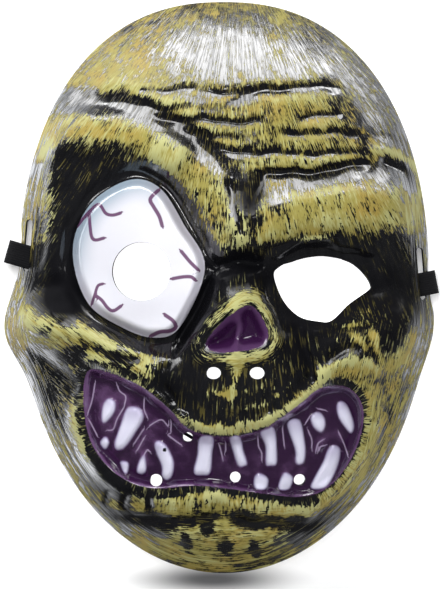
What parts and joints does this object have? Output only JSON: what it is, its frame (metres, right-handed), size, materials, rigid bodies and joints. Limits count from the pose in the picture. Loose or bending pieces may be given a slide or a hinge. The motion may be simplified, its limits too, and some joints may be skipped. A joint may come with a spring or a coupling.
{
  "type": "halloween mask",
  "caption": "Thin formed plastic zombie face mask with a bulging eyeball, open eye, toothy mouth and breathing holes, held on by a flat elastic strap.",
  "frame": {"origin": "centre of the shell's bounding box on the plane of its rim, which is what it lies on", "axes": "+Z out of the face, +Y towards the crown, +X to the viewer's right"},
  "size_m": [0.1871, 0.2456, 0.0744],
  "materials": {
    "painted_pvc": "glossy black sheet with dry-brushed khaki, purple and white paint",
    "elastic": "matt black woven elastic"
  },
  "bodies": {
    "root": {"mask_shell": "painted_pvc", "elastic_strap": "elastic"}
  },
  "joints": []
}
